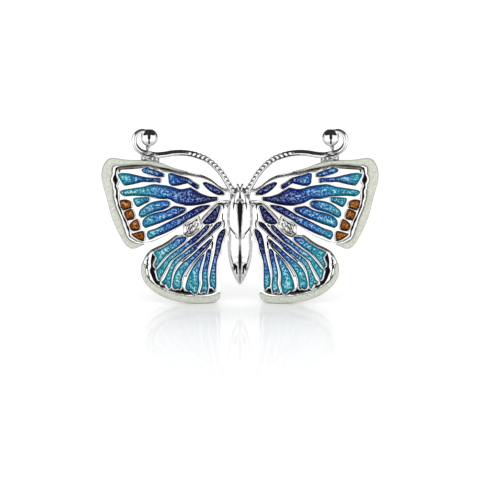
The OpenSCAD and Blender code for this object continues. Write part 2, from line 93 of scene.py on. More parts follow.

# Black lines cut into the silver: points, half width. Of these, the forewing's mark by the amber cells
# and its dash where the wing roots meet are painted shade.
FORE_STROKES = [
    ([(18.45, 21.72), (18.47, 21.68)], 0.11),
    ([(16.95, 15.72), (16.62, 15.9)], 0.05),
    ([(2.95, 16.32), (1.9, 16.34)], 0.07),
]
HIND_STROKES = [
    ([(6.7, 9.1), (7.4, 8.5), (8.2, 7.8), (8.95, 7.1)], 0.055),
    ([(5.3, 8.85), (5.75, 8.4), (6.35, 7.8), (6.95, 7.1), (7.55, 6.3), (8, 5.6), (8.35, 4.9)], 0.05),
    ([(4.35, 9.95), (4.4, 9.5), (4.45, 9.15)], 0.11),
    ([(4.4, 10.95), (4.3, 10.75)], 0.08),
    ([(4.5, 12.62), (4.65, 12.45)], 0.09),
    ([(3.4, 15.9), (2.95, 15.9), (2.7, 15.7), (2.62, 15.35)], 0.09),
    ([(2.8, 14.3), (2.85, 13.8), (2.8, 13.45)], 0.06),
    ([(2.62, 13.2), (2.55, 12.8), (2.6, 12.4)], 0.08),
    ([(14.25, 5), (13.85, 4.3), (13.3, 3.75)], 0.04),
    ([(4.9, 9.4), (5.3, 8.95)], 0.07),
]

# Black lines painted on the body, standing in for its dark reflections: the stripe down the middle and
# the creases, also cut in slightly. Each point gives the distance from the middle and height as seen from
# the front, with the half width at each point.
BODY_STRIPE = [
    (0, 16.2, 0.12), (0, 15.9, 0.32), (0, 15.6, 0.41), (0, 15.1, 0.4), (0, 14.5, 0.37),
    (0, 14, 0.35), (0, 13.4, 0.32), (0, 12.9, 0.28), (0, 12.4, 0.24), (0, 11.8, 0.2),
    (0, 11.2, 0.17), (0, 10.7, 0.13), (0, 10.2, 0.09), (0, 9.7, 0.05), (0, 9.3, 0.1),
    (0, 8.7, 0.14), (0, 8, 0.2), (0, 7.4, 0.25), (0, 6.5, 0.25), (0, 5.9, 0.2),
    (0, 5.3, 0.12), (0, 4.7, 0.07),
]
BODY_STROKES = [
    [(0.84, 17.1, 0.03), (0.9, 16.4, 0.07), (0.93, 15.9, 0.12), (0.98, 15.4, 0.08), (1, 14.95, 0.02)],
    [(0.9, 15.85, 0.08), (0.6, 15.95, 0.07), (0.35, 15.75, 0.1)],
    [(0.47, 16.1, 0.05), (0.38, 16.4, 0.08), (0.2, 16.5, 0.08), (0.06, 16.2, 0.06)],
    [(0.55, 17.95, 0.09), (0.68, 17.7, 0.12), (0.8, 17.45, 0.1)],
    [(1.62, 12.2, 0.04), (1.5, 12, 0.1), (1.2, 11.6, 0.11), (0.8, 11.08, 0.08)],
    [(0.66, 10.85, 0.04), (0.55, 10.45, 0.05)],
    [(1.45, 8, 0.03), (1.34, 7.4, 0.07), (1.16, 6.75, 0.07)],
    [(1.12, 6.45, 0.08), (0.75, 6.15, 0.2), (0.4, 5.9, 0.08)],
    [(0.95, 6.3, 0.16), (0.84, 5.8, 0.15), (0.95, 5.35, 0.07)],
    [(0.62, 6, 0.14), (0.54, 5.5, 0.14), (0.45, 4.85, 0.09)],
    [(1.15, 5.9, 0.05), (1.1, 5.5, 0.06)],
]
BODY_HALF = [  # height, half width, depth of the front over the body's axis
    (3.0, 0, 0), (3.08, 0.14, 0.14), (3.3, 0.36, 0.36), (3.95, 0.73, 0.72), (4.6, 1.02, 1.0),
    (5.2, 1.25, 1.22), (5.9, 1.47, 1.45), (6.6, 1.63, 1.62), (7.4, 1.78, 1.76),
    (8.3, 1.88, 1.86), (9.3, 1.92, 1.9), (10.2, 1.88, 1.86), (11, 1.92, 1.9),
    (12, 2.05, 2.04), (13, 2.16, 2.14), (14, 2.2, 2.18), (15, 2.15, 2.12), (15.8, 2.0, 1.99),
    (16.5, 1.72, 1.85), (17.1, 1.36, 1.72), (17.6, 1.02, 1.58), (18, 0.74, 1.42),
    (18.3, 0.5, 1.2), (18.45, 0.28, 0.8), (18.5, 0, 0),
]

# Centre line of an antenna: distance from the middle, height, depth, radius of the wire.
WIRE = [
    (0.7, 17.5, 1.0, 0.47), (1.3, 18.05, 0.95, 0.47), (2.05, 19.25, 0.85, 0.47),
    (2.65, 20.3, 0.8, 0.47), (3.35, 21.2, 0.75, 0.47), (4.2, 22.1, 0.7, 0.47),
    (5.2, 22.9, 0.7, 0.47), (6.3, 23.41, 0.7, 0.47), (7.6, 23.82, 0.7, 0.47),
    (9, 24.02, 0.7, 0.47), (10.3, 24.01, 0.7, 0.47), (11.6, 23.83, 0.7, 0.47),
    (12.9, 23.79, 0.75, 0.47), (14.1, 24.05, 0.75, 0.46), (15.05, 24.35, 0.75, 0.44),
    (15.75, 24.95, 0.75, 0.42), (16.12, 25.7, 0.75, 0.41), (16.17, 26.4, 0.75, 0.4),
    (15.92, 27.05, 0.78, 0.38), (15.4, 27.52, 0.82, 0.35), (14.8, 27.68, 0.88, 0.3),
    (14.3, 27.5, 0.92, 0.24),
]
BALL = (13.9, 26.6, 0.9)
BALL_R = 1.32

# ---------------------------------------------------------------- curves and distances


def knot(a, b, c, d, t):
    """The point at t of a smooth curve from b to c, with neighbours a and d."""
    return 0.5 * (2 * b + (c - a) * t + (2 * a - 5 * b + 4 * c - d) * t**2
                  + (3 * b - a - 3 * c + d) * t**3)


def spaced(points, step, closed):
    """The same line with points every step mm."""
    q = np.vstack([points, points[:1]]) if closed else points
    run = np.concatenate([[0], np.cumsum(np.linalg.norm(np.diff(q[:, :2], axis=0), axis=1))])
    n = max(4, int(round(run[-1] / step)))
    at = np.linspace(0, run[-1], n + 1)
    if closed:
        at = at[:-1]
    return np.stack([np.interp(at, run, q[:, k]) for k in range(q.shape[1])], 1)


def spline(points, step, closed=True):
    """A smooth line through points, with points every step mm."""
    p = np.asarray(points, float)
    n = len(p)
    i = np.arange(n if closed else n - 1)

    def at(j):
        return p[j % n] if closed else p[np.clip(j, 0, n - 1)]

    t = np.linspace(0, 1, 9)[:-1, None, None]
    q = knot(at(i - 1), at(i), at(i + 1), at(i + 2), t).transpose(1, 0, 2).reshape(-1, p.shape[1])
    if not closed:
        q = np.vstack([q, p[-1:]])
    return spaced(q, step, closed)


def area(loop):
    """Area inside a loop, negative when it runs clockwise."""
    x, y = loop[:, 0], loop[:, 1]
    return 0.5 * np.sum(x * np.roll(y, -1) - y * np.roll(x, -1))


def anticlockwise(loop):
    return loop if area(loop) > 0 else loop[::-1].copy()


def line_distance(p, line, closed):
    """Distance of each point from a line, and where along it the nearest point is."""
    a = line
    b = np.roll(line, -1, 0)
    if not closed:
        a, b = a[:-1], b[:-1]
    best = np.full(len(p), 1e9)
    where = np.zeros(len(p))
    ab = b - a
    length = np.maximum((ab**2).sum(1), 1e-12)
    for s in range(0, len(p), 3000):
        q = p[s : s + 3000, None, :]
        t = np.clip(((q - a) * ab).sum(2) / length, 0, 1)
        r = np.sqrt(((q - a - t[:, :, None] * ab) ** 2).sum(2))
        k = r.argmin(1)
        rows = np.arange(len(k))
        best[s : s + 3000] = r[rows, k]
        where[s : s + 3000] = k + t[rows, k]
    return best, where


def within(p, loop):
    """Which of the points lie inside a closed line."""
    a, b = loop, np.roll(loop, -1, 0)
    out = np.zeros(len(p), bool)
    rise = b[:, 1] - a[:, 1]
    rise = np.where(np.abs(rise) < 1e-12, 1e-12, rise)
    for s in range(0, len(p), 3000):
        x, y = p[s : s + 3000, :1], p[s : s + 3000, 1:2]
        beside = x < (b[:, 0] - a[:, 0]) * (y - a[:, 1]) / rise + a[:, 0]
        crossing = ((a[:, 1] > y) != (b[:, 1] > y)) & beside
        out[s : s + 3000] = crossing.sum(1) % 2 == 1
    return out


def depth_in(p, loop):
    """Distance from a closed line, positive inside it."""
    return line_distance(p, loop, True)[0] * np.where(within(p, loop), 1, -1)


def inset(loop, by):
    """The loop moved inwards, without the points that fold over."""
    t = np.roll(loop, -1, 0) - np.roll(loop, 1, 0)
    t /= np.maximum(np.linalg.norm(t, axis=1), 1e-9)[:, None]
    q = loop + by * np.stack([-t[:, 1], t[:, 0]], 1)
    if abs(by) < 1e-9:
        return q
    return q[np.abs(depth_in(q, loop) - by) < 0.3 * abs(by) + 0.004]


def ramp(x, low, high):
    """A smooth step from 0 at low to 1 at high."""
    t = np.clip((x - low) / (high - low), 0, 1)
    return t * t * (3 - 2 * t)


def bead(s, r):
    """How far a rounded edge of radius r lies below the top, at distance s from the edge."""
    s = np.clip(s, 0, r)
    return r - np.sqrt(np.maximum(r * r - (r - s) ** 2, 0))


def lumps(p, size, seed):
    """Smooth unevenness between -1 and 1, with bumps about size mm across."""
    return np.array([noise.noise(Vector((x / size, y / size, seed))) for x, y in p[:, :2]])


def stroke_depth(p, strokes):
    """How far each point is inside the nearest stroke, in mm."""
    best = np.full(len(p), -9.0)
    for points, half in strokes:
        line = spline(points, 0.1, False)
        best = np.maximum(best, half - line_distance(p, line, False)[0])
    return best


# ---------------------------------------------------------------- outlines from the CAD nodes


def local(co):
    """World mm to a right wing's u, v, d."""
    x, y, z = co[:, 0], co[:, 1] + BACK, co[:, 2]
    c, s = math.cos(LEAN), math.sin(LEAN)
    return np.stack([x * c - y * s, z + BASE, -x * s - y * c], 1)


def world(p, side):
    """A wing's u, v, d in mm to world metres, on the left (-1) or right (1)."""
    c, s = math.cos(LEAN), math.sin(LEAN)
    x = p[:, 0] * c - p[:, 2] * s
    y = -BACK - p[:, 0] * s - p[:, 2] * c
    return np.stack([side * x, y, p[:, 1] - BASE], 1) * MM


def loops(node, level):
    """The closed outlines of a right-hand node's flat face at depth level, biggest first."""
    mesh = NODES[node].data
    co = np.zeros(len(mesh.vertices) * 3)
    mesh.vertices.foreach_get("co", co)
    p = local(co.reshape(-1, 3) / MM)
    mesh.calc_loop_triangles()
    tri = np.zeros(len(mesh.loop_triangles) * 3, int)
    mesh.loop_triangles.foreach_get("vertices", tri)
    tri = tri.reshape(-1, 3)
    tri = tri[(np.abs(p[tri][:, :, 2] - level) < 0.01).all(1)]
    key = {}
    ids = [key.setdefault(tuple(q), len(key)) for q in np.round(p, 3)]
    spots = {ids[k]: p[k, :2] for k in range(len(p))}
    edges = set()
    for t in tri:
        for k in range(3):
            edges.add((ids[t[k]], ids[t[(k + 1) % 3]]))
    follow = {a: b for a, b in edges if (b, a) not in edges}
    found = []
    while follow:
        at = next(iter(follow))
        ring = []
        while at in follow:
            ring.append(spots[at])
            at = follow.pop(at)
        if len(ring) > 4:
            found.append(anticlockwise(np.array(ring)))
    return sorted(found, key=lambda r: -abs(area(r)))


# ---------------------------------------------------------------- meshes


def triangles(rings, loose, outline):
    """Triangles inside an outline, over lines (points, closed) and loose (points, spacing)."""
    verts, edges = [], []
    for ring, closed in rings:
        if len(ring) < 3 and closed:
            continue
        first = len(verts)
        verts.extend(ring)
        last = len(verts)
        edges.extend((k, k + 1) for k in range(first, last - 1))
        if closed:
            edges.append((last - 1, first))
    points, spacing = loose
    if len(points):
        tree = kdtree.KDTree(len(verts))
        for k, v in enumerate(verts):
            tree.insert((v[0], v[1], 0), k)
        tree.balance()
        room = 0.55 * spacing
        verts.extend(v for v in points if tree.find((v[0], v[1], 0))[2] > room)
    out = geometry.delaunay_2d_cdt(
        [Vector((float(x), float(y))) for x, y in verts], edges, [], 0, 1e-5, False)
    flat = np.array([(v[0], v[1]) for v in out[0]])
    tri = np.array([f for f in out[2] if len(f) == 3])
    tri = tri[within(flat[tri].mean(1), outline)]
    used = np.unique(tri)
    new = np.full(len(flat), -1)
    new[used] = np.arange(len(used))
    return flat[used], new[tri]


def dots(outline, gap):
    """Points of an even grid inside an outline, and their spacing."""
    low, high = outline.min(0), outline.max(0)
    rows = np.arange(low[1], high[1], gap * 0.87)
    columns = np.arange(low[0], high[0], gap)
    pts = [(x + (gap / 2 if k % 2 else 0), y) for k, y in enumerate(rows) for x in columns]
    pts = np.array(pts).reshape(-1, 2)
    return pts[within(pts, outline)], gap


def clipped(flat, tri, value):
    """The part of a patch of triangles where the value at its points is above nought."""
    points, made, out = [tuple(p) for p in flat], {}, []
    value = np.where(np.abs(value) < 1e-4, -1e-4, value)

    def crossing(a, b):
        key = (min(a, b), max(a, b))
        if key not in made:
            t = value[a] / (value[a] - value[b])
            made[key] = len(points)
            points.append(tuple(flat[a] + t * (flat[b] - flat[a])))
        return made[key]

    for corners in tri:
        shape = []
        for k in range(3):
            a, b = int(corners[k]), int(corners[(k + 1) % 3])
            if value[a] > 0:
                shape.append(a)
            if (value[a] > 0) != (value[b] > 0):
                shape.append(crossing(a, b))
        out.extend((shape[0], shape[k], shape[k + 1]) for k in range(1, len(shape) - 1))
    # The biggest stretch that hangs together, without stray corners.
    joined = list(range(len(points)))

    def root(k):
        while joined[k] != k:
            joined[k] = joined[joined[k]]
            k = joined[k]
        return k

    for a, b, c in out:
        joined[root(b)] = joined[root(c)] = root(a)
    names = [root(t[0]) for t in out]
    biggest = max(set(names), key=names.count)
    kept = np.array([t for t, name in zip(out, names) if name == biggest])
    used = np.unique(kept)
    new = np.full(len(points), -1)
    new[used] = np.arange(len(used))
    return np.array(points)[used], new[kept]


def rim(tri):
    """The longest edge of a patch of triangles, as a list of vertex numbers."""
    edges = {(int(t[k]), int(t[(k + 1) % 3])) for t in tri for k in range(3)}
    follow = {a: b for a, b in edges if (b, a) not in edges}
    found = []
    while follow:
        at = next(iter(follow))
        ring = []
        while at in follow:
            ring.append(at)
            at = follow.pop(at)
        found.append(ring)
    return max(found, key=len)


def slab(flat, tri, height, steps, back_gap):
    """A closed solid: a front of triangles at a height, side rings (inset, d), and a flat back."""
    ring = rim(tri)
    verts = [(flat[k, 0], flat[k, 1], height[k]) for k in range(len(flat))]
    faces = [tuple(int(i) for i in t) for t in tri]
    loop = flat[ring]
    t = np.roll(loop, -1, 0) - np.roll(loop, 1, 0)
    t /= np.maximum(np.linalg.norm(t, axis=1), 1e-9)[:, None]
    normal = np.stack([-t[:, 1], t[:, 0]], 1)
    for _ in range(3):
        normal = np.roll(normal, 1, 0) + normal + np.roll(normal, -1, 0)
        normal /= np.maximum(np.linalg.norm(normal, axis=1), 1e-9)[:, None]
    last = ring
    m = len(ring)
    for by, d in steps:
        q = loop + by * normal
        first = len(verts)
        verts.extend((x, y, d) for x, y in q)
        now = list(range(first, first + m))
        faces.extend((last[(k + 1) % m], last[k], now[k], now[(k + 1) % m]) for k in range(m))
        last = now
    base, d = np.array([verts[k][:2] for k in last]), steps[-1][1]
    grid, _ = dots(inset(base, back_gap * 0.7), back_gap)
    out = geometry.delaunay_2d_cdt(
        [Vector((float(x), float(y))) for x, y in [*base, *grid]],
        [(k, (k + 1) % m) for k in range(m)], [], 0, 1e-6, True)
    number = []
    for v, origin in zip(out[0], out[3]):
        hit = [k for k in origin if k < m]
        if hit:
            number.append(last[hit[0]])
        else:
            number.append(len(verts))
            verts.append((v[0], v[1], d))
    flat_back = np.array([(v[0], v[1]) for v in out[0]])
    patch = np.array([f for f in out[2] if len(f) == 3])
    patch = patch[within(flat_back[patch].mean(1), base)]
    faces.extend((number[f[2]], number[f[1]], number[f[0]]) for f in patch)
    return np.array(verts), faces


def joined(parts):
    """Several (verts, faces, attributes) as one."""
    faces, first = [], 0
    for verts, part_faces, _ in parts:
        faces += [tuple(k + first for k in face) for face in part_faces]
        first += len(verts)
    attributes = {key: np.concatenate([a[key] for _, _, a in parts]) for key in parts[0][2]}
    return np.vstack([verts for verts, _, _ in parts]), faces, attributes


def piece(name, co, faces, material, attributes, replaces, sharp, mirror=False):
    """A named mesh object on the brooch's body, from world coordinates in metres."""
    mesh = bpy.data.meshes.new(name)
    if mirror:
        faces = [tuple(reversed(f)) for f in faces]
    mesh.from_pydata([tuple(v) for v in co], [], faces)
    for key, values in attributes.items():
        layer = mesh.attributes.new(key, "FLOAT", "POINT")
        layer.data.foreach_set("value", np.asarray(values, np.float32))
    mesh.validate()
    bm = bmesh.new()
    bm.from_mesh(mesh)
    bmesh.ops.remove_doubles(bm, verts=bm.verts, dist=2e-7)
    bmesh.ops.holes_fill(bm, edges=[e for e in bm.edges if e.is_boundary], sides=0)
    bmesh.ops.recalc_face_normals(bm, faces=bm.faces)
    bm.to_mesh(mesh)
    bm.free()
    mesh.shade_smooth()
    mesh.set_sharp_from_angle(angle=math.radians(sharp))
    obj = bpy.data.objects.new(name, mesh)
    bpy.context.scene.collection.objects.link(obj)
    mesh.materials.append(material)
    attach(obj, "brooch")
    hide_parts(*replaces)


def mirrored(name, verts, faces, material, attributes, nodes, sharp=35):
    """The right piece and its mirror image on the left, from a wing's u, v, d in mm."""
    for label, side in SIDES.items():
        piece(f"{name}_{label}", world(verts, side), faces, material, attributes,
              [f"{node}_{label}" for node in nodes], sharp, mirror=side < 0)


# ---------------------------------------------------------------- materials


class Nodes:
    """A short way to write the nodes of a material or of the world."""

    def __init__(self, tree):
        self.tree = tree

    def add(self, kind, inputs=None, **settings):
        node = self.tree.nodes.new(kind)
        for key, value in settings.items():
            setattr(node, key, value)
        for key, value in (inputs or {}).items():
            if isinstance(value, bpy.types.NodeSocket):
                self.tree.links.new(value, node.inputs[key])
            else:
                node.inputs[key].default_value = value
        return node

    def noise(self, scale, detail, rough, stretch=None):
        vector = self.add("ShaderNodeTexCoord").outputs["Object"]
        if stretch:
            vector = self.add("ShaderNodeMapping", {"Vector": vector, "Scale": stretch}).outputs[0]
        inputs = {"Vector": vector, "Scale": scale, "Detail": detail, "Roughness": rough}
        return self.add("ShaderNodeTexNoise", inputs).outputs[0]

    def attribute(self, name):
        return self.add("ShaderNodeAttribute", attribute_name=name).outputs["Fac"]

    def math(self, kind, a, b=0.0, clamp=False):
        return self.add("ShaderNodeMath", {0: a, 1: b}, operation=kind, use_clamp=clamp).outputs[0]

    def span(self, value, low, high, to_low=0.0, to_high=1.0):
        inputs = {"Value": value, "From Min": low, "From Max": high,
                  "To Min": to_low, "To Max": to_high}
        return self.add("ShaderNodeMapRange", inputs, interpolation_type="SMOOTHSTEP").outputs[0]

    def mix(self, factor, a, b, kind="MIX"):
        node = self.tree.nodes.new("ShaderNodeMix")
        node.data_type = "RGBA"
        node.blend_type = kind
        for key, value in ((0, factor), (6, a), (7, b)):
            if isinstance(value, bpy.types.NodeSocket):
                self.tree.links.new(value, node.inputs[key])
            elif key == 0:
                node.inputs[key].default_value = value
            else:
                node.inputs[key].default_value = (*value, 1.0)
        return node.outputs[2]

    def colours(self, factor, stops):
        node = self.add("ShaderNodeValToRGB", {"Fac": factor})
        marks = node.color_ramp.elements
        while len(marks) < len(stops):
            marks.new(0.5)
        for mark, (at, colour) in zip(marks, stops):
            mark.position = at
            mark.color = (*colour, 1.0)
        return node.outputs[0]

    def bump(self, height, strength, distance):
        inputs = {"Height": height, "Strength": strength, "Distance": distance}
        return self.add("ShaderNodeBump", inputs).outputs[0]


class Surface(Nodes):
    """A material's nodes around its one shader."""

    def __init__(self, name):
        self.material = bpy.data.materials.new(name)
        self.material.use_nodes = True
        super().__init__(self.material.node_tree)
        self.shader = self.tree.nodes["Principled BSDF"]

    def put(self, **values):
        for key, value in values.items():
            name = key.replace("_", " ")
            if isinstance(value, bpy.types.NodeSocket):
                self.tree.links.new(value, self.shader.inputs[name])
            else:
                self.shader.inputs[name].default_value = value


def metal(name, tone, low, high, dark_lines_and_shade=True):
    """Polished metal with faint wear, its roughness between low and high, turned black where the mesh
    says dark: cut lines, and painted shade and painted reflections in the recesses, on the body, antenna
    curl, palps and solder."""
    n = Surface(name)
    wear = n.noise(9000, 3, 0.6)
    broad = n.noise(700, 2, 0.5)
    rough = n.span(wear, 0.3, 0.75, low, high)
    colour = n.mix(n.span(broad, 0.35, 0.7), tone, tuple(0.96 * c for c in tone))
    # Painted shade and painted reflections, with the cut lines, come in through the dark attribute.
    if dark_lines_and_shade:
        dark = n.attribute("dark")
        n.put(Base_Color=n.mix(dark, colour, (0.008, 0.008, 0.01)))
        n.put(Metallic=n.math("SUBTRACT", 1.0, dark, True))
        n.put(Roughness=n.math("MAXIMUM", rough, n.math("MULTIPLY", dark, 0.55)))
    else:
        n.put(Base_Color=colour, Metallic=1.0, Roughness=rough)
    n.shader.inputs["Specular IOR Level"].default_value = 0.05
    n.put(Normal=n.bump(n.noise(2600, 2, 0.5), 0.35, 0.000004))
    return n.material


def enamel(name, stops, edges, highlight_colours):
    """Glossy enamel: tint, wall distance and closeness to the middle come from the mesh, the grain from
    noise. The three lists hold its colours by tint: the enamel's own, the deeper one used for painted
    shade by the walls and for dark grains, and the whitish one used for painted highlights along the
    middle."""
    n = Surface(name)
    wall = n.attribute("wall")
    fine = n.noise(3800, 3, 0.55)
    second = n.noise(3500, 3, 0.55, stretch=(1.3, 1.0, -0.9))
    cloud = n.noise(1100, 2, 0.5)
    drift = n.math("MULTIPLY", n.math("SUBTRACT", cloud, 0.5), 0.45)
    tint = n.math("ADD", n.attribute("tint"), drift, True)
    base = n.colours(tint, stops)
    edge = n.colours(tint, edges)
    # Deep colour in dark grains and as painted shade near the walls, whitish painted highlights along the
    # middle.
    base = n.mix(n.span(second, 0.49, 0.43), base, edge)
    light = n.math("MULTIPLY", n.span(fine, 0.51, 0.555), n.span(n.attribute("middle"), 0.15, 0.75))
    light = n.math("MULTIPLY", light, n.span(cloud, 0.3, 0.62, 0.4, 1.0))
    base = n.mix(n.math("MULTIPLY", light, 0.9), base, n.colours(tint, highlight_colours))
    # Painted shade: the deep colour along the walls.
    base = n.mix(n.span(wall, 0.04, 0.28), edge, base)
    n.put(Base_Color=base, Metallic=0.0, Roughness=0.2)
    n.shader.inputs["Specular IOR Level"].default_value = 0.08
    n.shader.inputs["Coat Weight"].default_value = 0.08
    n.shader.inputs["Coat Roughness"].default_value = 0.04
    n.put(Normal=n.bump(n.noise(2400, 2, 0.5), 0.5, 0.00003))
    return n.material


SILVER = metal("silver", (0.96, 0.96, 0.955), 0.05, 0.14)
STEEL = metal("pin_steel", (0.82, 0.83, 0.84), 0.12, 0.24, dark_lines_and_shade=False)
BLUE = enamel(
    "blue_enamel",
    [(0.0, (0.003, 0.004, 0.07)), (0.3, (0.003, 0.02, 0.22)), (0.6, (0.002, 0.11, 0.4)),
     (1.0, (0.002, 0.29, 0.38))],
    [(0.0, (0.001, 0.0, 0.012)), (0.3, (0.001, 0.002, 0.05)), (0.6, (0.0, 0.03, 0.17)),
     (1.0, (0.0, 0.12, 0.17))],
    [(0.0, (0.2, 0.25, 0.56)), (0.3, (0.33, 0.52, 0.78)), (0.6, (0.45, 0.76, 0.9)),
     (1.0, (0.55, 0.88, 0.88))])
AMBER = enamel(
    "amber_enamel",
    [(0.0, (0.06, 0.008, 0.001)), (0.5, (0.26, 0.06, 0.002)), (1.0, (0.5, 0.16, 0.004))],
    [(0.0, (0.012, 0.003, 0.001)), (1.0, (0.07, 0.02, 0.002))],
    [(0.0, (0.48, 0.15, 0.02)), (1.0, (0.9, 0.5, 0.16))])


def pale_enamel():
    """Mottled off-white enamel, with painted shade where it meets the silver."""
    n = Surface("pale_enamel")
    wall = n.attribute("wall")
    fine = n.noise(4200, 3, 0.7)
    streak = n.noise(2500, 2, 0.6, stretch=(0.35, 1.0, 2.2))
    tone = n.colours(n.span(fine, 0.3, 0.7), [
        (0.0, (0.5, 0.52, 0.44)), (0.5, (0.62, 0.64, 0.56)), (1.0, (0.76, 0.78, 0.7))])
    tone = n.mix(n.math("MULTIPLY", n.span(streak, 0.45, 0.65), 0.35), tone, (0.8, 0.82, 0.75))
    # Painted shade along the rims where the pale enamel meets the silver.
    tone = n.mix(n.span(wall, 0.14, 0.0), tone, (0.4, 0.42, 0.34))
    n.put(Base_Color=tone, Roughness=0.3, Metallic=0.0)
    n.shader.inputs["Specular IOR Level"].default_value = 0.3
    n.put(Normal=n.bump(fine, 0.4, 0.00003))
    return n.material


PALE = pale_enamel()

# ---------------------------------------------------------------- wings


def outlines(kind, recess, inner, strip):
    """The lines that one wing is made from, in the wing's plane."""
    node = f"{kind}_right"
    outline = inset(spline(loops(node, 0.0)[0], STEP), 0.01)
    count = 9 if kind == "forewing" else 8
    cells = [spline(loops(f"{kind}_cell_{k}_right", CELL_TOP)[0], STEP * 0.9)
             for k in range(1, count + 1)]
    # The pale edge reaches out almost to the silver's own outline.
    edge = spline(loops(f"{kind}_border_right", BORDER_TOP)[0], STEP)
    reach, where = line_distance(edge, outline, True)
    turns = np.arange(len(outline) + 1)
    closest = np.stack([np.interp(where, turns, np.append(outline[:, k], outline[0, k]))
                        for k in (0, 1)], 1)
    away = (edge - closest) / np.maximum(reach, 1e-9)[:, None]
    outer = (reach < 0.24) & ~within(edge - 0.03 * away, edge)
    edge = spaced(np.where(outer[:, None], closest + 0.01 * away, edge), STEP, True)
    return {
        "outline": outline,
        "field": spline(loops(node, FIELD)[0], STEP * 0.8),
        "cells": cells,
        "recess": anticlockwise(np.vstack([spline(recess, STEP * 0.8, False),
                                           spaced(np.array(inner, float), STEP, False)])),
        "edge": edge,
        "strip": strip,
    }


def fore_strip(p):
    """Width of the forewing's silver line between the black recess and the pale edge."""
    u, v = p[:, 0], p[:, 1]
    outer = np.maximum(ramp(u, 18.3, 18.9), ramp(19.5 - v, 0, 1) * ramp(u, 10, 12))
    return 0.33 * ramp(v, 11.2, 14.5) * outer


def hind_strip(p):
    """The same for the hindwing, where the line is hair-thin throughout."""
    return 0.05 * np.ones(len(p))


def depth_in_pale(p, lines):
    """Distance from the rim of the pale edge, positive inside it."""
    return np.minimum(depth_in(p, lines["edge"]), -depth_in(p, lines["recess"]) - lines["strip"](p))


def wing(lines, strokes, extra_cells):
    """Silver relief of one wing: verts, faces and attributes in the wing's own plane."""
    outline, field = inset(lines["outline"], 0.03), lines["field"]
    cells = lines["cells"] + extra_cells
    rings = [(inset(outline, by), True) for by in (0, 0.05, 0.12, 0.2)]
    inner = [(inset(field, by), True) for by in (-0.05, 0, 0.03, 0.08, 0.14, 0.2, 0.27)]
    for c in cells:
        inner += [(inset(c, by), True) for by in (-0.2, -0.13, -0.07, -0.025, 0, 0.045)]
    for by in (0.07, 0.02, 0, -0.04, -0.09, -0.16, -0.24, -0.33, -0.4):
        inner.append((inset(lines["recess"], by), True))
    inner += [(inset(lines["edge"], by), True) for by in (-0.06, 0, 0.06)]
    for points, half in strokes:
        line = spline(points, 0.06, False)
        t = np.gradient(line, axis=0)
        t /= np.maximum(np.linalg.norm(t, axis=1), 1e-9)[:, None]
        side = np.stack([-t[:, 1], t[:, 0]], 1)
        inner += [(line + by * side, False) for by in (-half - 0.03, -half, 0, half, half + 0.03)]
    rings += [(r[within(r, rings[1][0])], False) for r, _ in inner]
    flat, tri = triangles(rings, dots(outline, 0.36), outline)

    in_outline = depth_in(flat, outline)
    in_field = depth_in(flat, field)
    in_cell = np.max([depth_in(flat, c) for c in cells], 0)
    in_recess = depth_in(flat, lines["recess"])
    in_pale = depth_in_pale(flat, lines)
    wave = lumps(flat, 1.6, 3.0)

    crest = 0.2 * ramp(in_field, -1.6, -0.9)
    low = 0.78 + crest - bead(in_outline, 0.12) - 0.5 * bead(-in_recess, 0.1)
    low = low + (0.69 - low) * ramp(in_pale, -0.07, 0.06)
    floor = CHANNEL + 0.03 * lumps(flat, 0.4, 1.0)
    low = np.where(in_recess > 0, low + (floor - low) * ramp(in_recess, 0.0, 0.06), low)
    top = FIELD + 0.012 * wave - bead(in_field, 0.2) - bead(-in_cell, 0.16)
    top = np.where(in_cell > 0, top + (CELL_FLOOR - top) * ramp(in_cell, 0.0, 0.045), top)
    height = np.where(in_field >= 0, top, low + (top - low) * ramp(in_field, -0.05, -0.001))
    # Painted reflection: the recess floor and the field's wall down to it are coloured black.
    dark = ramp(-in_field, 0.0, 0.03) * ramp(in_recess, 0.0, 0.05)
    cut = stroke_depth(flat, strokes)
    height = height - 0.25 * ramp(cut, -0.03, 0.01)
    dark = np.maximum(dark, ramp(cut, -0.03, 0.0))
    dark = np.maximum(dark, 0.6 * ramp(in_cell, 0.0, 0.04))

    steps = [(0.0, 0.5), (0.0, 0.22), (0.03, 0.1), (0.1, 0.02), (0.16, 0.0), (0.22, 0.0)]
    verts, faces = slab(flat, tri, height, steps, 0.8)
    full = np.zeros(len(verts))
    full[: len(flat)] = dark
    return verts, faces, {"dark": full}


def pale_edge(lines):
    """The pale enamel on a wing's outer edge, up to the silver line along the recess."""
    rings = [(inset(lines["edge"], by), True) for by in (0.0, 0.05, 0.12, 0.2, 0.3)]
    past = [inset(lines["recess"], -by) for by in (0.0, 0.05, 0.12, 0.2, 0.3, 0.4, 0.5)]
    rings += [(r[within(r, lines["edge"])], False) for r in past]
    flat, tri = triangles(rings, dots(lines["edge"], 0.24), lines["edge"])
    flat, tri = clipped(flat, tri, -depth_in(flat, lines["recess"]) - lines["strip"](flat) + 0.04)
    deep = np.maximum(depth_in_pale(flat, lines), 0)
    height = (0.8 + 0.2 * np.sqrt(ramp(deep, 0.0, 0.4))
              + 0.012 * lumps(flat, 0.5, 9.0) * ramp(deep, 0.05, 0.3))
    verts, faces = slab(flat, tri, height, [(0.0, 0.6), (0.0, 0.3), (0.12, 0.2)], 0.5)
    wall = np.maximum(depth_in_pale(verts[:, :2], lines), 0)
    return verts, faces, {"wall": wall}


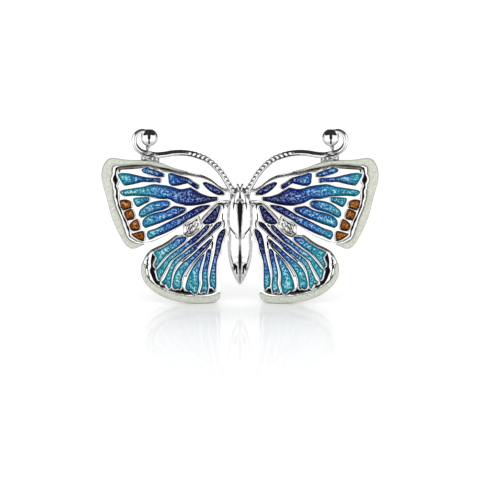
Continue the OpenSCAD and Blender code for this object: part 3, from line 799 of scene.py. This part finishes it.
def enamel_mesh(outline, brim, tint_at, seed, gap=0.2, rise=0.45):
    """A fill in a cell, domed from its brim over a distance of rise: verts, faces, attributes."""
    outer = inset(outline, -0.03)
    rings = [(outer, True)] + [(inset(outline, by), True) for by in (0.0, 0.05, 0.12, 0.2, 0.3)]
    flat, tri = triangles(rings, dots(outline, gap), outer)
    deep = np.maximum(depth_in(flat, outline), 0)
    height = brim + (FILL_CROWN - brim) * np.sqrt(ramp(deep, 0.0, rise))
    height = height + 0.012 * lumps(flat, 0.5, seed) * ramp(deep, 0.05, 0.3)
    verts, faces = slab(flat, tri, height, [(0.0, FILL_BACK)], 0.5)
    p = verts[:, :2]
    wall = np.maximum(depth_in(p, outline), 0)
    # Closeness to the middle, where the enamel's painted highlights go.
    near = ((p[:, None, :] - p[None, :, :]) ** 2).sum(2) < 0.6**2
    middle = wall / np.maximum((near * wall[None, :]).max(1), 0.05)
    return verts, faces, {"wall": wall, "middle": middle, "tint": tint_at(p)}


def fore_tint(p):
    """Where each point lies between dark blue, 0, and turquoise, 1."""
    u, v = p[:, 0], p[:, 1]
    far = np.hypot(u - 2.5, (v - 16.5) * 0.8)
    top = ramp(v, 18.8, 20.2) * ramp(u, 11, 12.5) * ramp(u, 18, 16)
    return np.clip(0.02 + 0.98 * ramp(far, 1.5, 15.5) - 0.28 * top, 0, 1)


def hind_tint(p):
    far = np.hypot(p[:, 0] - 2.5, p[:, 1] - 13.2)
    return np.clip(ramp(far, 2.0, 11.5), 0, 1)


def amber_tint(p):
    return np.clip(0.5 + 0.5 * lumps(p, 0.7, 5.0), 0, 1)


AMBER_CELLS = [spline(c, STEP * 0.8) for c in loops("amber_cells_right", CELL_TOP)]
for kind, recess, inner, strip, strokes, tint_at, extra in (
    ("forewing", FORE_RECESS, FORE_INNER, fore_strip, FORE_STROKES, fore_tint, AMBER_CELLS),
    ("hindwing", HIND_RECESS, HIND_INNER, hind_strip, HIND_STROKES, hind_tint, []),
):
    lines = outlines(kind, recess, inner, strip)
    verts, faces, attributes = wing(lines, strokes, extra)
    mirrored(f"silver_{kind}", verts, faces, SILVER, attributes, [kind])
    for k, cell in enumerate(lines["cells"], 1):
        verts, faces, attributes = enamel_mesh(cell, 1.12, tint_at, k * 1.7)
        mirrored(f"enamel_{kind}_{k}", verts, faces, BLUE, attributes,
                 [f"{kind}_cell_{k}"])
    verts, faces, attributes = pale_edge(lines)
    mirrored(f"pale_{kind}_edge", verts, faces, PALE, attributes, [f"{kind}_border"])

verts, faces, attributes = joined([
    enamel_mesh(cell, 1.1, amber_tint, 20 + k, 0.16, 0.5) for k, cell in enumerate(AMBER_CELLS)])
mirrored("enamel_amber", verts, faces, AMBER, attributes, ["amber_cells"])

# ---------------------------------------------------------------- solder lumps


def lump(name, outline, crown, seed, strokes, nodes, rough, painted_shade_amount):
    """A solder joint: rough scales its lumps, and the last argument sets how much grey painted shade is
    blotched over it.
    """
    shape = spline(outline, 0.1)
    rings = [(inset(shape, by), True) for by in (0, 0.05, 0.12)]
    flat, tri = triangles(rings, dots(shape, 0.13), shape)
    deep = depth_in(flat, shape)
    height = 0.45 + (crown - 0.45) * np.sqrt(ramp(deep, 0, 0.5))
    uneven = 0.16 * lumps(flat, 0.42, seed) + 0.07 * lumps(flat, 0.2, seed + 5)
    height += rough * uneven * ramp(deep, 0, 0.3)
    cut = stroke_depth(flat, strokes)
    height -= 0.15 * ramp(cut, -0.06, 0.02)
    # Painted shade: grey blotches over the lump.
    shade_blotches = painted_shade_amount * ramp(lumps(flat, 0.35, seed + 9), -0.3, 0.5)
    dark = np.maximum(ramp(cut, -0.06, 0.0), shade_blotches)
    verts, faces = slab(flat, tri, height, [(0.0, 0.3), (0.05, 0.2)], 0.4)
    full = np.zeros(len(verts))
    full[: len(flat)] = dark
    mirrored(name, verts, faces, SILVER, {"dark": full}, nodes, sharp=60)


lump("silver_bridge", [(5.75, 12.5), (6.1, 13.6), (6.45, 14.1), (7.2, 13.7), (8, 13.2), (8.6, 12.75),
                       (8.8, 11.9), (8.6, 11.1), (8.1, 10.95), (7.2, 11.35), (6.4, 12.0)],
     0.86, 2.0,
     [([(7.35, 12.6), (7.55, 12.15), (7.75, 11.9)], 0.09), ([(7.9, 12.35), (8.0, 12.05)], 0.08),
      ([(8.1, 11.75), (8.3, 11.4)], 0.09), ([(8.42, 11.2), (8.4, 11.0)], 0.12),
      ([(7.0, 12.9), (7.1, 12.6)], 0.05), ([(6.6, 12.5), (6.9, 12.1)], 0.03)],
     ["solder_bridge"], 0.3, 0.08)
lump("silver_pad", [(12.3, 22.7), (12.45, 23.5), (12.9, 23.85), (13.6, 24.0), (14.4, 24.15), (15.1, 24.1),
                    (15.15, 23.5), (15.0, 22.9), (14, 22.8), (13, 22.55)],
     1.0, 11.0,
     [([(14.45, 23.1), (14.8, 23.0)], 0.13), ([(12.75, 23.55), (13.1, 23.5)], 0.05),
      ([(13.4, 23.75), (13.8, 23.6), (14.1, 23.7)], 0.05), ([(12.9, 23.0), (13.3, 22.95)], 0.03)],
     ["solder_pad"], 0.9, 0.5)

# ---------------------------------------------------------------- body


def body_rows():
    """Rings of points round the body from the bottom up, and each point's turn from the front."""
    fine = spline(BODY_HALF, 0.075, False)
    fine[:, 1:] = np.maximum(fine[:, 1:], 0)
    front = np.linspace(-math.pi / 2, math.pi / 2, 113)
    behind = np.linspace(math.pi / 2, 1.5 * math.pi, 33)[1:-1]
    turn = np.concatenate([front, behind])
    c = np.cos(turn)
    rows = []
    for v, half, deep in fine[1:-1]:
        back = min(half, 0.8) * np.sign(c) * np.abs(c) ** 0.6
        y = np.where(np.abs(turn) <= math.pi / 2 + 1e-6, deep * c, back)
        rows.append(np.stack([half * np.sin(turn), -BODY_Y - y, np.full(len(turn), v - BASE)], 1))
    return np.array(rows), turn


def body_depth(p):
    """How far each point is inside the nearest of the body's black lines, in mm."""
    depth = np.full(len(p), -9.0)
    other_half = [[(-u, v, w) for u, v, w in s] for s in BODY_STROKES]
    for stroke in [BODY_STRIPE] + BODY_STROKES + other_half:
        line = spline(stroke, 0.05, False)
        far, where = line_distance(p, line[:, :2], False)
        half = np.interp(where, np.arange(len(line)), line[:, 2])
        depth = np.maximum(depth, half - far)
    return depth


def body_dark(p, depth):
    """How black the body is: its lines, which are painted reflections, painted shade in grey on the
    flanks, and grey towards the lower end.
    """
    u, v = np.abs(p[:, 0]), p[:, 1]
    # Painted shade: grey along the edges of the flanks.
    flank_shade = np.exp(-(((u - 1.9) / 0.3) ** 2)) * ramp(v, 11, 12.5) * ramp(v, 16.8, 15.5)
    flank_shade = 0.42 * flank_shade * (0.7 + 0.9 * lumps(p, 0.9, 6.0))
    low = ramp(v, 8.2, 5.5) * ramp(u, 0.5, 1.1) + ramp(v, 5.2, 4.2)
    low = 0.22 * np.minimum(low, 1) * (0.6 + 0.8 * lumps(p, 0.3, 2.0))
    return np.max([ramp(depth, -0.03, 0.02), flank_shade, low], 0)


def body_push(p, depth):
    """How far the front stands out: lines cut in, the neck and waist, and the abdomen's rings."""
    u, v = np.abs(p[:, 0]), p[:, 1]
    dig = 0.09 * ramp(depth, -0.08, 0.1)
    neck = ramp(v, 15.7, 16.1) * ramp(u, 0.75 - 0.25 * (v - 16.5), 1.15 - 0.25 * (v - 16.5))
    waist = np.exp(-(((v - (11.05 + 0.75 * (u - 0.8))) / 0.22) ** 2))
    rings = 0.018 * np.sin((v - 3) * 2 * math.pi / 0.9) * ramp(v, 4, 5) * ramp(v, 9.8, 8.5)
    return rings - dig - 0.16 * neck - 0.05 * waist


def body():
    pts, turn = body_rows()
    count, m = pts.shape[:2]
    # Height as seen from the front, where the strokes were placed.
    out = -(pts[:, :, 1] + BACK)
    seen = pts[:, :, 2] + BASE - 0.277 * out + 0.33
    p = np.stack([pts[:, :, 0].ravel(), seen.ravel()], 1)
    fronts = np.tile(np.abs(turn) < 1.45, count)
    depth = body_depth(p)
    dark = body_dark(p, depth) * fronts
    push = (body_push(p, depth) * fronts).reshape(count, m)
    normal = pts - np.array([0, -BODY_Y, 0])
    normal[:, :, 2] = 0
    normal /= np.maximum(np.linalg.norm(normal, axis=2), 1e-9)[:, :, None]
    pts = pts + normal * push[:, :, None]
    ends = [[0, -BODY_Y, BODY_HALF[0][0] - BASE], [0, -BODY_Y, BODY_HALF[-1][0] - BASE]]
    co = np.vstack([pts.reshape(-1, 3), ends]) * MM
    low, high = len(co) - 2, len(co) - 1
    faces = []
    for r in range(count - 1):
        a, b = r * m, (r + 1) * m
        faces.extend((a + k, a + (k + 1) % m, b + (k + 1) % m, b + k) for k in range(m))
    faces += [(low, (k + 1) % m, k) for k in range(m)]
    top = (count - 1) * m
    faces += [(high, top + k, top + (k + 1) % m) for k in range(m)]
    piece("silver_body", co, faces, SILVER, {"dark": np.append(dark, [0, 0])}, ["body"], 70)


body()

# ---------------------------------------------------------------- swept pieces


def tube(line, section, around):
    """A tube along points: verts, faces and radii. Its radius at point i is section(i, angle, way),
    with way pointing out from the line."""
    n = len(line)
    t = np.gradient(line, axis=0)
    t /= np.linalg.norm(t, axis=1)[:, None]
    side = np.cross(t[0], [0, 0, 1.0])
    side /= np.linalg.norm(side)
    verts, faces, radii = [], [], []
    angle = np.linspace(0, 2 * math.pi, around, endpoint=False)
    for i in range(n):
        side = side - t[i] * (side @ t[i])
        side /= np.linalg.norm(side)
        up = np.cross(t[i], side)
        way = np.cos(angle)[:, None] * side + np.sin(angle)[:, None] * up
        r = section(i, angle, way)
        verts.extend(line[i] + r[:, None] * way)
        radii.extend(r)
        if i:
            a, b = (i - 1) * around, i * around
            faces.extend((a + k, a + (k + 1) % around, b + (k + 1) % around, b + k)
                         for k in range(around))
    faces.append(tuple(reversed(range(around))))
    faces.append(tuple(range((n - 1) * around, n * around)))
    return np.array(verts), faces, np.array(radii)


def antennae():
    """Round wire, twisted like a rope of three strands near the head."""
    line = spline(WIRE, 0.075, False)
    run = np.concatenate([[0], np.cumsum(np.linalg.norm(np.diff(line[:, :3], axis=0), axis=1))])
    around, pitch, strands = 36, 2.15, 3
    full = 1 - ramp(line[:, 0], 5.0, 8.5)
    uneven = np.array([noise.noise(Vector((s / 0.9, 0.3, 4.0))) for s in run])
    along = np.gradient(line[:, :2], axis=0)
    along /= np.linalg.norm(along, axis=1)[:, None]

    def section(i, angle, way):
        r = line[i, 3]
        c = 0.42 * r
        rs = r - c
        a = angle - 2 * math.pi * run[i] / pitch
        step = 2 * math.pi / strands
        a = (a + step / 2) % step - step / 2
        rope = c * np.cos(a) + np.sqrt(np.maximum(rs**2 - (c * np.sin(a)) ** 2, 0))
        # The twist is worn smooth on the lower side.
        crisp = full[i] * ramp(way[:, 0] * -along[i, 1] + way[:, 1] * along[i, 0], -0.45, 0.35)
        return (rope * crisp + r * (1 - crisp)) * (1 + 0.025 * uneven[i])

    verts, faces, radii = tube(line[:, :3], section, around)
    dark = ramp(np.repeat(line[:, 3], around) - radii, 0.05, 0.11)
    # Painted reflection: black inside the curl's lower bend and over its top.
    out = (verts.reshape(-1, around, 3) - line[:, None, :3]) / radii.reshape(-1, around, 1)
    upper = out[:, :, 1] * along[:, :1] - out[:, :, 0] * along[:, 1:]
    bend = ramp(line[:, 0], 13.9, 14.4) * ramp(line[:, 1], 25.9, 25.4)
    crest = ramp(line[:, 1], 26.9, 27.2)
    curl_painted_reflection = np.maximum(bend[:, None] * ramp(upper, 0.3, 0.5), crest[:, None] * ramp(-upper, 0.2, 0.4))
    dark = 0.95 * np.maximum(dark, (curl_painted_reflection * ramp(out[:, :, 2], -0.3, 0.0)).ravel())
    mirrored("silver_antenna", verts, faces, SILVER, {"dark": dark}, ["antenna"], sharp=60)


antennae()


def balls():
    """The ball at an antenna's end, drawn out into a short neck where it meets the wire."""
    bm = bmesh.new()
    bmesh.ops.create_icosphere(bm, subdivisions=5, radius=1.0)
    co = np.array([v.co for v in bm.verts])
    faces = [tuple(v.index for v in f.verts) for f in bm.faces]
    bm.free()
    axis = np.array([0.12, -1.0, -0.1])
    axis /= np.linalg.norm(axis)
    across = np.degrees(np.arccos(np.clip(co @ axis, -1, 1)))
    pull = 0.85 * np.exp(-((across / 10.5) ** 2)) + 0.08 * np.exp(-((across / 25) ** 2))
    flat = np.array([noise.noise(Vector(c) * 1.1) for c in co])
    r = BALL_R * (1 - 0.012 * flat) - 0.01 + pull
    verts = co * r[:, None] + np.array(BALL)
    mirrored("silver_ball", verts, faces, SILVER, {"dark": np.zeros(len(verts))},
             ["antenna_ball"], sharp=60)


balls()


def palps():
    """The two short prongs on the head, with black painted at the tips and between them as painted
    reflection.
    """
    parts, around = [], 20
    for side in (-1, 1):
        line = spline([(0.02 * side, -BODY_Y - 1.1, 17.75), (0.1 * side, -BODY_Y - 1.15, 18.15),
                       (0.26 * side, -BODY_Y - 1.1, 18.7), (0.4 * side, -BODY_Y - 1.05, 19.12),
                       (0.43 * side, -BODY_Y - 1.03, 19.22)], 0.05, False)
        line[:, 2] -= BASE
        n = len(line)

        def section(i, angle, way):
            t = i / (n - 1)
            tip = math.sqrt(max(1 - ((t - 0.86) / 0.14) ** 2, 0.02)) if t > 0.86 else 1
            return (0.2 - 0.05 * t) * tip * (1 + 0.25 * np.cos(2 * angle))

        verts, faces, _ = tube(line, section, around)
        # Painted reflection: black on the inward sides and at the tips.
        inward = ramp((np.repeat(line[:, 0], around) - verts[:, 0]) * side, -0.03, 0.04)
        tip = ramp(np.repeat(np.arange(n) / (n - 1), around), 0.7, 0.85)
        parts.append((verts, faces, {"dark": 0.95 * np.maximum(inward, tip)}))
    verts, faces, attributes = joined(parts)
    piece("silver_palps", verts * MM, faces, SILVER, attributes, ["palps"], 60)


palps()

# ---------------------------------------------------------------- clasp


def softened(node, material, body_name, width):
    """A CAD node's shape with its edges rounded off."""
    mesh = NODES[node].data.copy()
    mesh.name = f"{node}_soft"
    bm = bmesh.new()
    bm.from_mesh(mesh)
    bmesh.ops.remove_doubles(bm, verts=bm.verts, dist=2e-6)
    bmesh.ops.dissolve_limit(bm, angle_limit=math.radians(1), verts=bm.verts, edges=bm.edges)
    bm.to_mesh(mesh)
    bm.free()
    obj = bpy.data.objects.new(f"{node}_finished", mesh)
    bpy.context.scene.collection.objects.link(obj)
    mesh.materials.clear()
    mesh.materials.append(material)
    bevel = obj.modifiers.new("bevel", "BEVEL")
    bevel.width = width * MM
    bevel.segments = 2
    bevel.limit_method = "ANGLE"
    bevel.angle_limit = math.radians(35)
    bevel.use_clamp_overlap = True
    mesh.shade_smooth()
    weighted = obj.modifiers.new("normals", "WEIGHTED_NORMAL")
    weighted.keep_sharp = True
    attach(obj, body_name)
    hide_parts(node)


CLASP = metal("clasp_silver", (0.93, 0.93, 0.925), 0.1, 0.22, dark_lines_and_shade=False)
softened("hinge_bracket", CLASP, "brooch", 0.07)
softened("catch_housing", CLASP, "brooch", 0.06)
softened("catch_roller", STEEL, "roller", 0.04)
softened("hinge_rivet", STEEL, "brooch", 0.06)
softened("pin_stem", STEEL, "pin", 0.05)

# ---------------------------------------------------------------- stage, light and camera

low = min(NODES["hindwing_right"].data.vertices, key=lambda v: v.co.z).co.z
bpy.ops.mesh.primitive_plane_add(size=6.0, location=(0, 0.5, low - 0.00002))
floor = bpy.context.object
floor.name = "floor"
n = Surface("floor_white")
n.put(Base_Color=(0.97, 0.97, 0.97, 1), Roughness=0.05)
n.shader.inputs["IOR"].default_value = 1.2
floor.data.materials.append(n.material)
floor.visible_glossy = False  # the silver mirrors the tent and not the floor

scene = bpy.context.scene
scene.view_settings.view_transform = "Standard"
scene.world = bpy.data.worlds.new("studio")
scene.world.use_nodes = True
sky = Nodes(scene.world.node_tree)
sky.tree.nodes.clear()

# A white tent. Only reflections see its dark parts: the top, a strip in front, the back, which
# is half dark low down and has a white patch for the floor to mirror, and the underneath.
TENT, DARKENING = 1.2, 1.18  # brightness of the white tent, and what its black parts lose
TILT = math.radians(8)  # the dark top leans back
place = sky.add("ShaderNodeTexCoord").outputs["Generated"]
x, y, z = sky.add("ShaderNodeSeparateXYZ", {0: place}).outputs
side = sky.math("ABSOLUTE", x)
up = sky.math("ADD", sky.math("MULTIPLY", y, math.sin(TILT)), sky.math("MULTIPLY", z, math.cos(TILT)))
roof = sky.span(sky.math("ADD", up, sky.math("MULTIPLY", side, 0.45)), 0.78, 0.84)
slit = sky.math("SUBTRACT", side, sky.math("MULTIPLY", sky.span(z, -0.2, 0.0), 0.18))
strip = sky.math("MULTIPLY", sky.span(slit, 0.19, 0.15), sky.span(y, 0.0, -0.2))
high = sky.span(z, -0.22, -0.08)
behind = sky.math("MULTIPLY", sky.span(y, -0.35, 0.75),
                  sky.math("ADD", 0.5, sky.math("MULTIPLY", high, 0.46)))
aside = sky.math("MAXIMUM", side, sky.math("ABSOLUTE", sky.math("SUBTRACT", z, 0.267)))
patch = sky.math("MULTIPLY", sky.span(aside, 0.16, 0.1), sky.span(y, 0.5, 0.6))
behind = sky.math("MULTIPLY", behind, sky.math("SUBTRACT", 1.0, patch))
under = sky.math("MULTIPLY", sky.span(z, -0.45, -0.8), 0.48)
black = sky.math("MAXIMUM", sky.math("MAXIMUM", roof, strip), sky.math("MAXIMUM", behind, under))
glossy = sky.add("ShaderNodeLightPath").outputs["Is Glossy Ray"]
loss = sky.math("MULTIPLY", sky.math("MULTIPLY", black, glossy), DARKENING)
level = sky.math("SUBTRACT", TENT, loss)
glow = sky.add("ShaderNodeBackground", {"Color": (1, 1, 1, 1), "Strength": level}).outputs[0]
sky.add("ShaderNodeOutputWorld", {"Surface": glow})

# The photograph's view: 15.5 degrees from above through a long lens.
ELEVATION = math.radians(15.5)
DISTANCE = 0.9
VIEW_WIDTH = 73.05  # mm across the picture at the wings
AIM_OVER_BASE = 9.816  # mm from the wings' lower edge up to the picture's middle, as seen
camera = bpy.data.cameras.new("camera")
camera.sensor_width = 36.0
camera.lens = camera.sensor_width * DISTANCE / (VIEW_WIDTH * MM)
camera.clip_end = 20.0
view = bpy.data.objects.new("camera", camera)
scene.collection.objects.link(view)
toward = Vector((0, math.cos(ELEVATION), -math.sin(ELEVATION)))
upward = Vector((0, math.sin(ELEVATION), math.cos(ELEVATION)))
aim = (Vector((0, -BACK - 1.2, -BASE)) + upward * AIM_OVER_BASE) * MM
view.location = aim - toward * DISTANCE
view.rotation_euler = toward.to_track_quat("-Z", "Y").to_euler()
scene.camera = view
